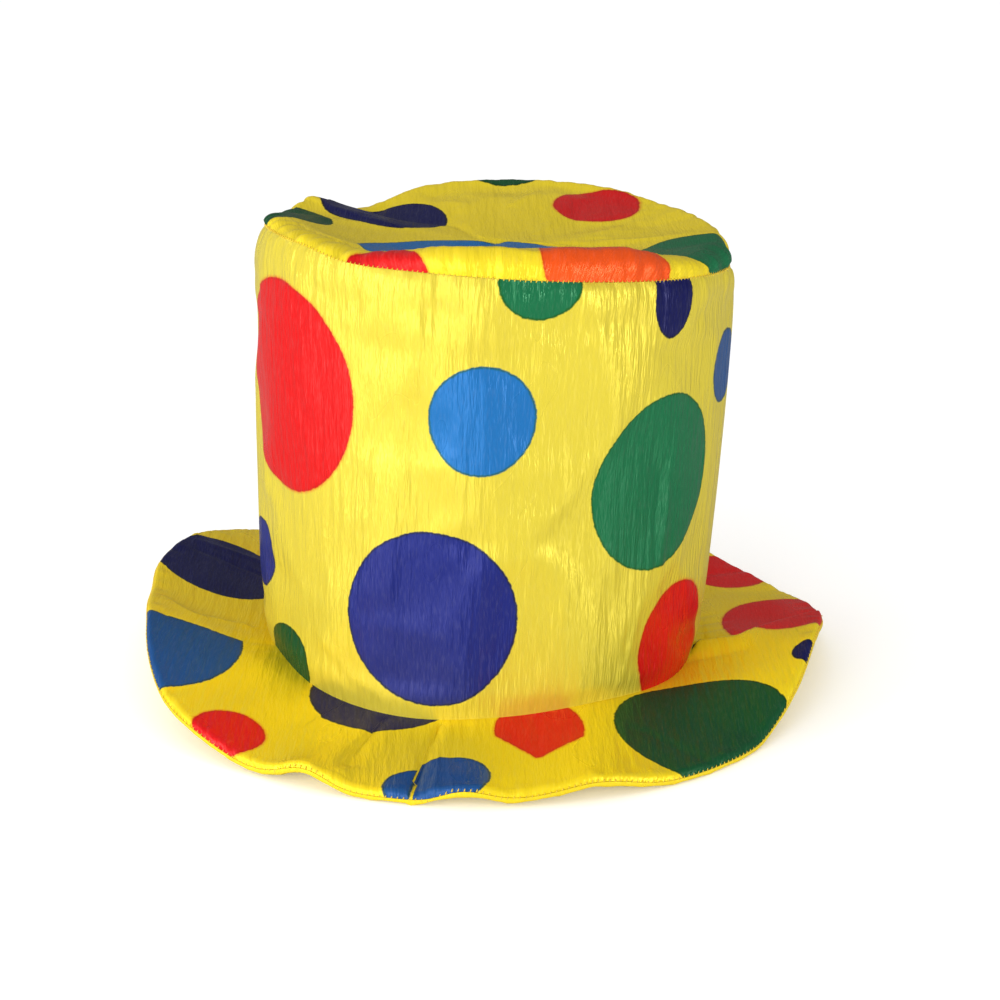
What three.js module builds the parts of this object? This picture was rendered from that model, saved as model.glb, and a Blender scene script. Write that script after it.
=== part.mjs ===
// A clown's tall hat of spotted satin over thin foam, standing on its own brim.
// Millimetres, +Z up, the front towards -Y. A turn is in degrees round the crown:
// 0 at the front, 90 at +X, 180 at the back and -90 at -X.
import * as THREE from "three";

// Driving sizes.
const HEAD_RADIUS = 96.5; // inside of the crown where the head goes in, a 60 cm head
const PAD_THICKNESS = 3; // satin laminated to foam
const LAYER_GAP = 0.3; // between sewn pieces
const CROWN_HEIGHT = 187; // from the brim up to the seam of the top
const CROWN_TOP_RADIUS = 104.5; // outside, at that seam
const CROWN_LEAN = 5; // how far the top stands to one side of the base
const SEAM_PUFF = 1.2; // how far the foam swells beside a seam
const SHOULDER_GATHER = 5; // how far the top seam is drawn in where the wall bulges over it
const FOLD_DEPTH = 2; // the deepest soft fold of the wall
const TOP_ROLL = 12; // how far the rolled rim of the top stands above its seam
const TOP_DISH = 18; // how far the middle of the top lies below that rim
const BRIM_WIDTH = 63; // from the crown to the edge
const BRIM_UNDER_OVERHANG = 1; // how far the plain under panel shows past the spotted one
const BRIM_CLEARANCE = 4; // under the brim where the crown meets it, from the surface it stands on
const EDGE_THINNING = 0.5; // thickness left at the brim's sewn edge, as a share of the padding
const PRESSED_THICKNESS = 0.8; // left of the under panel where it lies flat, as a share of the padding
const FACETS = 108; // steps round the hat

// The satin of each panel.
const WALL_YELLOW = 0xe8d52a;
const TOP_YELLOW = 0xd9c233;
const BRIM_YELLOW = 0xefd020;
const UNDER_YELLOW = 0xffe64a;
const SATIN_ROUGHNESS = 0.42;

// How far the brim clears the surface where the crown meets it, as a share of BRIM_CLEARANCE.
const JUNCTION = [
  { turn: -180, clearance: 0.9 },
  { turn: -120, clearance: 1.6 },
  { turn: -68, clearance: 2.4 },
  { turn: -46, clearance: 0.9 },
  { turn: -20, clearance: 0.3 },
  { turn: 5, clearance: 0.9 },
  { turn: 30, clearance: 1.3 },
  { turn: 62, clearance: 0.3 },
  { turn: 80, clearance: 1.2 },
  { turn: 130, clearance: 0.9 },
];

// The seam between wall and top: its height as a share of CROWN_HEIGHT, and how much of
// SHOULDER_GATHER draws it in.
const TOP_SEAM = [
  { turn: -180, height: 0.968, gather: 0.1 },
  { turn: -140, height: 0.941, gather: 0.3 },
  { turn: -108, height: 0.98, gather: 0.8 },
  { turn: -78, height: 1.03, gather: 1.0 },
  { turn: -50, height: 1.038, gather: 0.4 },
  { turn: -34, height: 1.02, gather: 0.1 },
  { turn: -15, height: 1.015, gather: 0.1 },
  { turn: 12, height: 1.0, gather: 0.1 },
  { turn: 40, height: 0.977, gather: 0.1 },
  { turn: 70, height: 0.952, gather: 0.1 },
  { turn: 90, height: 0.932, gather: 0.55 },
  { turn: 120, height: 0.943, gather: 0.2 },
  { turn: 150, height: 0.963, gather: 0.1 },
];

// How much of TOP_ROLL the rolled rim keeps round the top.
const TOP_RIM = [
  { turn: -180, rise: 1.0 },
  { turn: -160, rise: 1.08 },
  { turn: -140, rise: 0.66 },
  { turn: -121, rise: 1.08 },
  { turn: -105, rise: 0.55 },
  { turn: -75, rise: 0.3 },
  { turn: -40, rise: 0.3 },
  { turn: -24, rise: 0.48 },
  { turn: -10, rise: 0.85 },
  { turn: 10, rise: 0.97 },
  { turn: 33, rise: 1.0 },
  { turn: 50, rise: 0.6 },
  { turn: 72, rise: 0.7 },
  { turn: 95, rise: 1.1 },
  { turn: 129, rise: 0.95 },
  { turn: 150, rise: 1.05 },
];

// The top from its seam over the rolled rim to the middle: reach is a share of the seam's
// radius, rise a share of the rim's height, and fall a share of the way down into the dish.
const TOP_ROWS = [
  { reach: 1.0, rise: 0, fall: 0 },
  { reach: 1.01, rise: 0.3, fall: 0 },
  { reach: 1.0, rise: 0.62, fall: 0 },
  { reach: 0.975, rise: 0.9, fall: 0 },
  { reach: 0.935, rise: 1, fall: 0 },
  { reach: 0.87, rise: 1, fall: 0.14 },
  { reach: 0.7, rise: 1, fall: 0.5 },
  { reach: 0.46, rise: 1, fall: 0.82 },
  { reach: 0.22, rise: 1, fall: 0.97 },
  { reach: 0, rise: 1, fall: 1 },
];
const TOP_UNDER_ROWS = [0, 0.35, 0.7, 0.93]; // reach of the rows of its hidden side

// Hollows of the top, ridges where depth is negative: reach and width are shares of the
// seam's radius, and depth is a share of TOP_DISH.
const TOP_DENTS = [
  { turn: -138, reach: 0.84, width: 0.16, depth: 0.22 },
  { turn: -112, reach: 0.7, width: 0.14, depth: -0.16 },
  { turn: -60, reach: 0.55, width: 0.25, depth: 0.12 },
  { turn: 60, reach: 0.6, width: 0.22, depth: -0.12 },
  { turn: 175, reach: 0.6, width: 0.3, depth: -0.1 },
];
const DENTS_FROM = 0.125; // fall into the dish by which a dent has its whole depth

// Rows of the wall from the brim, at 0, to the top seam, at 1: how much of SEAM_PUFF it
// swells, and whether its inner side has the row too.
const WALL_ROWS = [
  { height: 0, puff: 0, inner: true },
  { height: 0.04, puff: 0.8, inner: true },
  { height: 0.2, puff: 0.6, inner: true },
  { height: 0.42, puff: 0.2, inner: false },
  { height: 0.64, puff: 0.3, inner: true },
  { height: 0.84, puff: 0.6, inner: false },
  { height: 0.95, puff: 1, inner: true },
  { height: 0.985, puff: 0.8, inner: true },
  { height: 1, puff: 0, inner: true },
];
const GATHER_FROM = 0.92; // height where the wall starts to draw in under the top seam

// Soft upright folds of the wall, swellings where depth is negative: width in degrees, depth a
// share of FOLD_DEPTH.
const WALL_FOLDS = [
  { turn: -168, width: 11, depth: 0.9, from: 0.1, to: 0.9 },
  { turn: -125, width: 9, depth: 0.8, from: 0.35, to: 1.0 },
  { turn: -92, width: 22, depth: -0.45, from: 0.0, to: 0.9 },
  { turn: -62, width: 9, depth: 0.5, from: 0.0, to: 0.55 },
  { turn: -24, width: 7, depth: 0.8, from: 0.3, to: 1.0 },
  { turn: 22, width: 9, depth: 0.9, from: 0.05, to: 0.9 },
  { turn: 54, width: 6, depth: 0.7, from: 0.0, to: 0.45 },
  { turn: 84, width: 18, depth: -1.0, from: 0.05, to: 0.95 },
  { turn: 112, width: 10, depth: 0.9, from: 0.15, to: 0.95 },
  { turn: 146, width: 9, depth: 0.7, from: 0.0, to: 0.6 },
];

// Sections of the brim: how far its edge reaches out and how high its underside lifts there,
// as shares of BRIM_WIDTH. A lift below 0 presses the brim flat on the surface.
const BRIM_SECTIONS = [
  { turn: -180, reach: 1.0, lift: -0.08 },
  { turn: -155, reach: 1.0, lift: 0.03 },
  { turn: -136, reach: 1.0, lift: 0.18 },
  { turn: -125, reach: 0.99, lift: 0.31 },
  { turn: -114, reach: 0.96, lift: 0.42 },
  { turn: -100, reach: 0.915, lift: 0.43 },
  { turn: -87, reach: 0.84, lift: 0.43 },
  { turn: -72, reach: 0.88, lift: 0.5 },
  { turn: -63, reach: 0.97, lift: 0.39 },
  { turn: -54, reach: 1.035, lift: 0.22 },
  { turn: -44, reach: 1.045, lift: 0.12 },
  { turn: -35, reach: 1.015, lift: 0.01 },
  { turn: -12, reach: 1.0, lift: -0.04 },
  { turn: 4, reach: 1.0, lift: 0.01 },
  { turn: 24, reach: 1.0, lift: 0.01 },
  { turn: 34, reach: 1.0, lift: -0.06 },
  { turn: 45, reach: 0.975, lift: -0.04 },
  { turn: 52, reach: 0.95, lift: 0.07 },
  { turn: 60, reach: 0.93, lift: 0.21 },
  { turn: 70, reach: 0.9, lift: 0.355 },
  { turn: 77, reach: 0.905, lift: 0.355 },
  { turn: 86, reach: 0.93, lift: 0.24 },
  { turn: 96, reach: 0.965, lift: 0.14 },
  { turn: 106, reach: 0.98, lift: 0.05 },
  { turn: 118, reach: 1.0, lift: -0.06 },
  { turn: 134, reach: 1.0, lift: 0.03 },
  { turn: 150, reach: 1.0, lift: -0.06 },
];

// Small arches of the edge, which leave the surface between two places where it rests:
// width in degrees, lift a share of BRIM_WIDTH.
const BRIM_ARCHES = [
  { turn: -25, width: 4.5, lift: 0.15 },
  { turn: -2, width: 3.5, lift: 0.1 },
  { turn: 17, width: 6, lift: 0.07 },
];
const ARCH_FADE = 3; // power by which an arch dies away from the edge towards the crown

// Radial creases of the brim, ridges where depth is negative: width in degrees, depth a
// share of PAD_THICKNESS.
const BRIM_CREASES = [
  { turn: -100, width: 5, depth: -0.5 },
  { turn: -80, width: 5, depth: 0.6 },
  { turn: -58, width: 5, depth: -0.5 },
  { turn: -38, width: 4, depth: 0.4 },
  { turn: -10, width: 4, depth: 0.5 },
  { turn: 32, width: 6, depth: -0.4 },
  { turn: 68, width: 5, depth: 0.6 },
  { turn: 92, width: 6, depth: 0.5 },
  { turn: -150, width: 6, depth: 0.5 },
];

// Rows of a brim panel from the crown, at 0, to the edge, at 1: the side that shows keeps
// thickness times the padding, and the hidden side has fewer rows.
const BRIM_ROWS = [
  { share: 0, thickness: 1 },
  { share: 0.25, thickness: 1 },
  { share: 0.55, thickness: 1 },
  { share: 0.84, thickness: 1 },
  { share: 0.97, thickness: 0.9 },
  { share: 1, thickness: EDGE_THINNING },
];
const BRIM_HIDDEN_ROWS = [0.34, 0.7, 1];
const HEAD_HOLE = -1; // stands for the row at the brim's inner edge, where the head goes in

const WALL_BASE_RADIUS = HEAD_RADIUS + PAD_THICKNESS;
const BRIM_THICKNESS = 2 * PAD_THICKNESS + LAYER_GAP;
const BASE_HEIGHT = BRIM_THICKNESS + BRIM_CLEARANCE; // where CROWN_HEIGHT is measured from
const LEAST_THICKNESS = PRESSED_THICKNESS * PAD_THICKNESS;

function clamp01(value) {
  return Math.min(1, Math.max(0, value));
}

function smooth(value) {
  const t = clamp01(value);
  return t * t * (3 - 2 * t);
}

function mix(a, b, share) {
  return a + (b - a) * share;
}

// A table's column as a smooth loop round the hat: a cubic curve through its rows.
function around(table, column) {
  const row = (i) => {
    const lap = Math.floor(i / table.length);
    const found = table[i - lap * table.length];
    return { turn: found.turn + 360 * lap, value: found[column] };
  };
  const slope = (i) => {
    const before = row(i - 1);
    const after = row(i + 1);
    return (after.value - before.value) / (after.turn - before.turn);
  };
  return (turn) => {
    const i = table.findLastIndex((entry) => entry.turn <= turn);
    const a = row(i);
    const b = row(i + 1);
    const span = b.turn - a.turn;
    const t = (turn - a.turn) / span;
    const rise = 3 * t * t - 2 * t * t * t;
    const leave = t * (1 - t) * (1 - t) * span * slope(i);
    const arrive = t * t * (t - 1) * span * slope(i + 1);
    return mix(a.value, b.value, rise) + leave + arrive;
  };
}

// 1 at a feature's own turn, falling to 0 beyond about twice its width.
function beside(turn, feature) {
  const away = ((turn - feature.turn + 540) % 360) - 180;
  return Math.exp(-((away / feature.width) ** 2));
}

const clearanceShare = around(JUNCTION, "clearance");
const seamShare = around(TOP_SEAM, "height");
const gatherShare = around(TOP_SEAM, "gather");
const rimShare = around(TOP_RIM, "rise");
const brimReach = around(BRIM_SECTIONS, "reach");
const brimLift = around(BRIM_SECTIONS, "lift");

function junctionHeight(turn) {
  return BRIM_THICKNESS + BRIM_CLEARANCE * clearanceShare(turn);
}

function seamHeight(turn) {
  return BASE_HEIGHT + CROWN_HEIGHT * seamShare(turn);
}

function seamRadius(turn) {
  return CROWN_TOP_RADIUS - SHOULDER_GATHER * gatherShare(turn);
}

function polar(radius, turn, height, across = 0) {
  const angle = THREE.MathUtils.degToRad(turn);
  return new THREE.Vector3(across + radius * Math.sin(angle), -radius * Math.cos(angle), height);
}

// Splits each four-cornered facet along its shorter diagonal, so that two panels that lie on
// each other are split alike.
function splitShorter(geometry, rowCount) {
  const positions = geometry.getAttribute("position");
  const corner = (i) => new THREE.Vector3().fromBufferAttribute(positions, i);
  const faces = [];
  for (let step = 0; step < FACETS; step += 1) {
    for (let row = 0; row < rowCount - 1; row += 1) {
      const a = step * rowCount + row;
      const b = a + rowCount;
      const c = b + 1;
      const d = a + 1;
      if (corner(a).distanceTo(corner(c)) < corner(b).distanceTo(corner(d))) {
        faces.push(a, b, c, a, c, d);
      } else {
        faces.push(a, b, d, c, d, b);
      }
    }
  }
  geometry.setIndex(faces);
}

// A turned form whose profile runs through the rows, with each point then put in its own
// place by turn and row. The outer side runs upwards, so that the faces point out.
function loft(rows, place) {
  const profile = rows.map((row) => {
    const at = place(0, row);
    return new THREE.Vector2(Math.hypot(at.x, at.y), at.z);
  });
  const geometry = new THREE.LatheGeometry(profile, FACETS);
  const positions = geometry.getAttribute("position");
  for (let step = 0; step <= FACETS; step += 1) {
    const turn = (360 * (step % FACETS)) / FACETS - 180;
    rows.forEach((row, i) => {
      const at = place(turn, row);
      positions.setXYZ(step * rows.length + i, at.x, at.y, at.z);
    });
  }
  splitShorter(geometry, rows.length);
  geometry.computeVertexNormals();
  return geometry;
}

function closed(rows) {
  return [...rows, rows[0]];
}

// The wall's outer surface lies on the straight line from its base to the top seam, swollen
// beside the seams, drawn in at the shoulder and pressed in along the folds.
function wallPoint(turn, row) {
  const base = polar(WALL_BASE_RADIUS, turn, junctionHeight(turn) + LAYER_GAP);
  const top = polar(CROWN_TOP_RADIUS, turn, seamHeight(turn), CROWN_LEAN);
  const gathered = smooth((row.height - GATHER_FROM) / (1 - GATHER_FROM));
  let out = SEAM_PUFF * row.puff - SHOULDER_GATHER * gatherShare(turn) * gathered;
  for (const fold of WALL_FOLDS) {
    const along = clamp01((row.height - fold.from) / (fold.to - fold.from));
    out -= FOLD_DEPTH * fold.depth * beside(turn, fold) * Math.sin(Math.PI * along);
  }
  out -= row.inset ?? 0;
  return base.lerp(top, row.height).add(polar(out, turn, 0));
}

function crownWall() {
  const inner = WALL_ROWS.filter((row) => row.inner).reverse();
  const inside = inner.map((row) => ({ ...row, inset: PAD_THICKNESS }));
  return loft(closed([...WALL_ROWS, ...inside]), wallPoint);
}

// The height of the top panel's upper side at a turn and reach, for one of its rows.
function topHeight(turn, row) {
  const rim = seamHeight(turn) + LAYER_GAP + TOP_ROLL * rimShare(turn) * row.rise;
  const middle = BASE_HEIGHT + CROWN_HEIGHT + TOP_ROLL - TOP_DISH;
  let height = mix(rim, middle, row.fall);
  for (const dent of TOP_DENTS) {
    const at = polar(row.reach, turn, 0);
    const away = at.distanceTo(polar(dent.reach, dent.turn, 0)) / dent.width;
    height -= TOP_DISH * dent.depth * Math.exp(-away * away) * smooth(row.fall / DENTS_FROM);
  }
  return height;
}

function topPoint(turn, row) {
  return polar(seamRadius(turn) * row.reach, turn, topHeight(turn, row), CROWN_LEAN);
}

// The top's fall into the dish at any reach, read between its rows.
function topRowAt(reach) {
  const crest = TOP_ROWS.findIndex((row) => row.rise === 1);
  const next = TOP_ROWS.findIndex((row, i) => i > crest && row.reach <= reach);
  const a = TOP_ROWS[next - 1];
  const b = TOP_ROWS[next];
  const share = (reach - a.reach) / (b.reach - a.reach);
  return { reach, rise: mix(a.rise, b.rise, share), fall: mix(a.fall, b.fall, share) };
}

function crownTop() {
  const under = TOP_UNDER_ROWS.map((reach) => ({ ...topRowAt(reach), under: PAD_THICKNESS }));
  const seat = { reach: 1, rise: 0, fall: 0, inset: PAD_THICKNESS };
  const rows = [...under, seat, ...TOP_ROWS];
  return loft(rows, (turn, row) => {
    if (row.under) {
      return topPoint(turn, row).add(new THREE.Vector3(0, 0, -row.under));
    }
    if (row.inset) {
      return polar(seamRadius(turn) - row.inset, turn, topHeight(turn, row), CROWN_LEAN);
    }
    return topPoint(turn, row);
  });
}

// The height of the plane between the two brim panels.
function brimMiddle(turn, share) {
  const layer = PAD_THICKNESS + LAYER_GAP / 2;
  const along = Math.max(0, share);
  const inner = junctionHeight(turn) - layer;
  const outer = BRIM_WIDTH * brimLift(turn) + layer;
  let height = mix(inner, outer, along);
  for (const arch of BRIM_ARCHES) {
    height += BRIM_WIDTH * arch.lift * beside(turn, arch) * along ** ARCH_FADE;
  }
  for (const crease of BRIM_CREASES) {
    height -= PAD_THICKNESS * crease.depth * beside(turn, crease) * Math.sin(Math.PI * along);
  }
  return Math.max(height, LEAST_THICKNESS + LAYER_GAP / 2);
}

function brimPoint(turn, share, height, overhang = 0) {
  const width = BRIM_WIDTH * brimReach(turn) + overhang;
  const radius = share === HEAD_HOLE ? HEAD_RADIUS : WALL_BASE_RADIUS + width * share;
  return polar(radius, turn, height);
}

function brimShownRows() {
  return [{ share: HEAD_HOLE, thickness: 1 }, ...BRIM_ROWS];
}

function brimHiddenRows() {
  return [HEAD_HOLE, ...BRIM_HIDDEN_ROWS].map((share) => ({ share, thickness: 0 }));
}

function brimUpper() {
  const rows = closed([...brimHiddenRows(), ...brimShownRows().reverse()]);
  return loft(rows, (turn, row) => {
    const bottom = brimMiddle(turn, row.share) + LAYER_GAP / 2;
    return brimPoint(turn, row.share, bottom + PAD_THICKNESS * row.thickness);
  });
}

function brimUnder() {
  const rows = closed([...brimShownRows(), ...brimHiddenRows().reverse()]);
  return loft(rows, (turn, row) => {
    const top = brimMiddle(turn, row.share) - LAYER_GAP / 2;
    const height = Math.max(0, top - PAD_THICKNESS * row.thickness);
    const overhang = row.share === 1 && row.thickness > 0 ? BRIM_UNDER_OVERHANG : 0;
    return brimPoint(turn, row.share, height, overhang);
  });
}

function piece(name, geometry, color) {
  const cloth = new THREE.MeshStandardMaterial({ color, roughness: SATIN_ROUGHNESS, metalness: 0 });
  const mesh = new THREE.Mesh(geometry, cloth);
  mesh.name = name;
  return mesh;
}

const hat = new THREE.Group();
hat.add(piece("crown_wall", crownWall(), WALL_YELLOW));
hat.add(piece("crown_top", crownTop(), TOP_YELLOW));
hat.add(piece("brim_upper", brimUpper(), BRIM_YELLOW));
hat.add(piece("brim_under", brimUnder(), UNDER_YELLOW));

// The hat's own zero is the middle of its footprint, on the surface it stands on.
const footprint = new THREE.Box3().setFromObject(hat).getCenter(new THREE.Vector3());
hat.position.set(-footprint.x, -footprint.y, 0);

export default hat;
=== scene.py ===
# %% [markdown]
# # A clown's tall hat of spotted satin
# The real hat is sewn from four panels of printed satin with thin foam behind it: an upright
# wall, a round dished top, and a brim of two layers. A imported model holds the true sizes. This
# lesson dresses it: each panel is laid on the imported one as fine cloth, then wrinkled, printed
# and stitched.

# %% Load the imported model
import math
from collections import namedtuple

import bpy
import numpy as np
from mathutils import Matrix, Vector, noise
from mathutils.bvhtree import BVHTree


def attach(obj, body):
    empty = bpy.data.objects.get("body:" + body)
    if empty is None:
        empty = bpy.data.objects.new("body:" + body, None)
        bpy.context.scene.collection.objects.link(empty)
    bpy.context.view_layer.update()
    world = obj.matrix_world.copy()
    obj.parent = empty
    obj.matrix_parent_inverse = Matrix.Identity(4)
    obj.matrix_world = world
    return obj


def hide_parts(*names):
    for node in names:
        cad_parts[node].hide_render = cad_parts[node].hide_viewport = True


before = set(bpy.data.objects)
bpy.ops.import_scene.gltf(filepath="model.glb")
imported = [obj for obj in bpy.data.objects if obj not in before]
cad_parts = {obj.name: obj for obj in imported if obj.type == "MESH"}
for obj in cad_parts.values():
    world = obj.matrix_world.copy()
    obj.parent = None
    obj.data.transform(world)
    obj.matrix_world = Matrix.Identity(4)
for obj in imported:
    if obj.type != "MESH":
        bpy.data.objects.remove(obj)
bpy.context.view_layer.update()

# %% [markdown]
# ## Read the sizes of the real hat
# Nothing is typed in twice: the middle of the head hole, the lean of the crown, the height of
# each seam and the run of the brim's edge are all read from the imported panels. A turn is an
# angle round the hat in degrees, 0 at the front, 90 at +X, 180 at the back.

# %% Measure the panels
MM = 0.001
COLUMNS = 108
STEP = 360 / COLUMNS
TURNS = [-180 + STEP * i for i in range(COLUMNS)]


def packed_points(name):
    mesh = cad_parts[name].data
    places = np.empty(len(mesh.vertices) * 3)
    mesh.vertices.foreach_get("co", places)
    return places.reshape(-1, 3)


def turns_about(points, middle):
    return np.degrees(np.arctan2(points[:, 0] - middle[0], middle[1] - points[:, 1]))


def in_column(turns, turn):
    away = (turns - turn + 180) % 360 - 180
    return np.abs(away) < STEP / 3


under_points = packed_points("brim_under")
side_line = np.abs(under_points[:, 1]) < 3 * MM
hole_left = under_points[side_line & (under_points[:, 0] < 0), 0].max()
hole_right = under_points[side_line & (under_points[:, 0] > 0), 0].min()
base_middle = np.array([(hole_left + hole_right) / 2, 0.0])
head_radius = (hole_right - hole_left) / 2

top_points = packed_points("crown_top")
from_axis = np.hypot(top_points[:, 0], top_points[:, 1])
top_middle = top_points[from_axis.argmin(), :2]
seam_radius = np.abs(top_points[:, 0] - top_middle[0]).max()

wall_points = packed_points("crown_wall")
lower_half = wall_points[:, 2] < wall_points[:, 2].mean()
foot_turns = turns_about(wall_points, base_middle)
seam_turns = turns_about(wall_points, top_middle)
wall_foot = np.array([wall_points[in_column(foot_turns, t) & lower_half, 2].min() for t in TURNS])
wall_seam = np.array([wall_points[in_column(seam_turns, t) & ~lower_half, 2].max() for t in TURNS])
wall_radius = head_radius + 3 * MM

upper_points = packed_points("brim_upper")
upper_turns = turns_about(upper_points, base_middle)
upper_reach = np.hypot(upper_points[:, 0] - base_middle[0], upper_points[:, 1] - base_middle[1])
brim_edge = np.array([upper_reach[in_column(upper_turns, t)].max() for t in TURNS])


def edge_seam_height(turn, reach):
    at_edge = in_column(upper_turns, turn) & (upper_reach > reach - 0.2 * MM)
    return upper_points[at_edge, 2].min()


brim_seam = np.array([edge_seam_height(t, r) for t, r in zip(TURNS, brim_edge)])


def at_turn(values, turn):
    return np.interp(turn, TURNS + [180.0], np.append(values, values[0]))


print("head hole, mm:", round(2000 * head_radius))
print("wall seam from", round(1000 * wall_seam.min()), "to", round(1000 * wall_seam.max()), "mm up")

# %% [markdown]
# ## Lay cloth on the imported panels
# A ray that is cast at a packed panel finds its surface. A coarse grid of cloth, one column for
# each facet, is laid on those points, and Subdivision Surface then gives the round form that
# the facets stand for. Each point remembers its place on the flat cloth, for creases and print.

# %% Helpers for grids of cloth
def packed_solid(name):
    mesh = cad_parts[name].data
    return BVHTree.FromPolygons([v.co for v in mesh.vertices], [p.vertices for p in mesh.polygons])


solids = {name: packed_solid(name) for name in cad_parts}


def outward(turn):
    return Vector((math.sin(math.radians(turn)), -math.cos(math.radians(turn)), 0))


def surface(name, start, direction):
    place = solids[name].ray_cast(start, direction.normalized())[0]
    if place is None:
        raise RuntimeError(f"no {name} ahead of {tuple(round(1000 * c, 1) for c in start)} mm")
    return place


def only(piece):
    bpy.ops.object.select_all(action="DESELECT")
    piece.select_set(True)
    bpy.context.view_layer.objects.active = piece


def apply(piece, kind, **settings):
    only(piece)
    modifier = piece.modifiers.new(kind.title(), kind)
    for name, value in settings.items():
        setattr(modifier, name, value)
    bpy.ops.object.modifier_apply(modifier=modifier.name)


def smoother(piece, levels):
    apply(piece, "SUBSURF", levels=levels, render_levels=levels, boundary_smooth="PRESERVE_CORNERS")


def places_of(piece):
    places = np.empty(len(piece.data.vertices) * 3)
    piece.data.vertices.foreach_get("co", places)
    return places.reshape(-1, 3)


def move_to(piece, places):
    piece.data.vertices.foreach_set("co", np.asarray(places).ravel())
    piece.data.update()


def normals_of(piece):
    normals = np.empty(len(piece.data.vertices) * 3)
    piece.data.vertices.foreach_get("normal", normals)
    return normals.reshape(-1, 3)


def remember(piece, flat):
    flat_place = piece.data.attributes.new("flat_place", "FLOAT_VECTOR", "POINT")
    flat_place.data.foreach_set("vector", np.asarray(flat).ravel())


def remembered(piece):
    flat = np.empty(len(piece.data.vertices) * 3, np.float32)
    piece.data.attributes["flat_place"].data.foreach_get("vector", flat)
    return flat.reshape(-1, 3).astype(float)


# %% [markdown]
# ## The wall
# The wall is one strip of cloth sewn into a tube, so it starts as an open cylinder. Subdividing
# only its upright edges adds level rings, as a loop cut would. The tube is then laid on the
# packed wall, which leans a little and swells beside its seams.

# %% Lay the wall
WALL_RINGS = 24
CAST_FROM = 0.15
FOOT_GAP = 0.6 * MM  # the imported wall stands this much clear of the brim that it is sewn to
wall_height = float((wall_seam - wall_foot).mean())

bpy.ops.object.select_all(action="DESELECT")
bpy.ops.mesh.primitive_cylinder_add(
    vertices=COLUMNS, radius=wall_radius, depth=wall_height, end_fill_type="NOTHING",
    location=(0, 0, wall_height / 2),
)
bpy.ops.object.transform_apply(location=True)
wall = bpy.context.object
wall.name = "wall_panel"
bpy.ops.object.mode_set(mode="EDIT")
bpy.ops.mesh.select_mode(type="EDGE")
bpy.ops.mesh.select_all(action="DESELECT")
bpy.ops.object.mode_set(mode="OBJECT")
for edge in wall.data.edges:
    low, high = (wall.data.vertices[i].co for i in edge.vertices)
    edge.select = abs(low.z - high.z) > wall_height / 2
bpy.ops.object.mode_set(mode="EDIT")
bpy.ops.mesh.subdivide(number_cuts=WALL_RINGS - 1)
bpy.ops.object.mode_set(mode="OBJECT")


def wall_place(turn, share):
    safe_share = min(max(share, 0.004), 0.996)
    middle = base_middle + (top_middle - base_middle) * share
    low, high = at_turn(wall_foot, turn), at_turn(wall_seam, turn)
    axis = Vector((middle[0], middle[1], low + (high - low) * safe_share))
    place = surface("crown_wall", axis + outward(turn) * CAST_FROM, -outward(turn))
    place.z = low + (high - low) * share
    if share < 1 / WALL_RINGS / 2:
        place.z -= FOOT_GAP
    return place


started = places_of(wall)
wall_turns = turns_about(started, (0, 0))
laid = np.array([wall_place(turn, place[2] / wall_height) for turn, place in zip(wall_turns, started)])
move_to(wall, laid)
remember(wall, np.column_stack([started[:, :2], laid[:, 2]]))
smoother(wall, 1)
print("wall", len(wall.data.vertices), "points,", round(1000 * wall_height), "mm tall")

# %% [markdown]
# ## The round panels
# The top and the two layers of the brim are rings. Each starts as a circle whose edge is
# extruded and scaled again and again, row by row, and each row is then laid on the packed
# panel. Round the rolled rim and the brim's edge the rows fan about a line inside the foam,
# because the surface there turns through a quarter circle.

# %% Lay the top and the brim
Row = namedtuple("Row", "reach fan")  # reach is a share of the panel; fan is in degrees, or None
ROLL_DEPTH = 14 * MM
EDGE_DEPTH = 3.6 * MM
CAST_DOWN = 0.1
CLEAR_OF_SEAM = 0.6 * MM  # rays pass this far from a seam, and the sewn row then closes its gap
SEWN_GAP = 0.08 * MM
POLE_SHARE = 0.08

TOP_ROWS = [Row(1, angle) for angle in (0, 14, 28, 42, 56, 70, 82)]
TOP_ROWS += [Row(share, None) for share in (0.84, 0.79, 0.74, 0.68, 0.62, 0.56, 0.5, 0.43, 0.36)]
TOP_ROWS += [Row(share, None) for share in (0.29, 0.22, 0.15, POLE_SHARE)]
BRIM_ROWS = [Row(share, None) for share in (-0.04, 0.0, 0.06, 0.13, 0.21, 0.3, 0.39, 0.48, 0.57, 0.66)]
BRIM_ROWS += [Row(share, None) for share in (0.75, 0.83, 0.9)] + [Row(1, angle) for angle in (80, 60, 40, 20, 0)]


def ring_panel(name, first, last, count, height, pole=False):
    bpy.ops.object.select_all(action="DESELECT")
    bpy.ops.mesh.primitive_circle_add(vertices=COLUMNS, radius=first, location=(0, 0, height))
    bpy.ops.object.transform_apply(location=True)
    ring = bpy.context.object
    ring.name = name
    bpy.ops.object.mode_set(mode="EDIT")
    radius = first
    for row in range(1, count):
        wanted = first + (last - first) * row / (count - 1)
        grown = (wanted / radius, wanted / radius, 1)
        bpy.ops.mesh.extrude_edges_move()
        bpy.ops.transform.resize(value=grown, center_override=(0, 0, height))
        radius = wanted
    if pole:
        bpy.ops.mesh.extrude_edges_move()
        bpy.ops.mesh.merge(type="CENTER")
    bpy.ops.mesh.select_all(action="SELECT")
    bpy.ops.mesh.normals_make_consistent(inside=False)
    bpy.ops.object.mode_set(mode="OBJECT")
    return ring


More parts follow.
